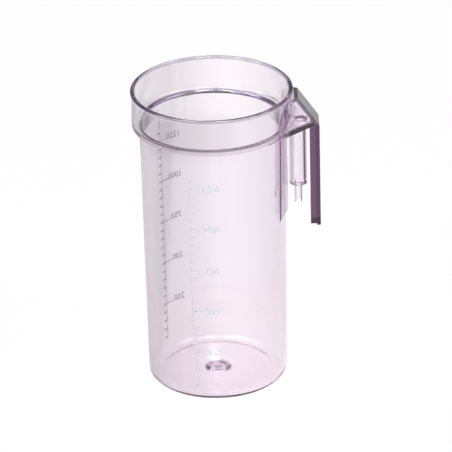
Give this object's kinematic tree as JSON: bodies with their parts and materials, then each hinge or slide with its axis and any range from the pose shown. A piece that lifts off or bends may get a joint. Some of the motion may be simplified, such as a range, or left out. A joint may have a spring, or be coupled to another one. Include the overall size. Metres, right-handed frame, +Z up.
{
  "type": "suction canister",
  "caption": "Clear open suction jar moulded in one piece, with a wide collar for a lid, a hollow side arm, a vacuum spigot and a T-section hook that slides down into a wall holder.",
  "frame": {"origin": "on the jar's axis, in the plane that its foot ring stands on", "axes": "+Z up along the jar's axis and out of its mouth, +X from the jar's axis to the hanging hook, and the plane Y = 0 is the middle plane of the hook and the arm"},
  "size_m": [0.1355, 0.117, 0.2275],
  "materials": {
    "clear_plastic": "polished clear moulding with a faint pink violet tint"
  },
  "bodies": {
    "root": {"canister": "clear_plastic"}
  },
  "joints": []
}
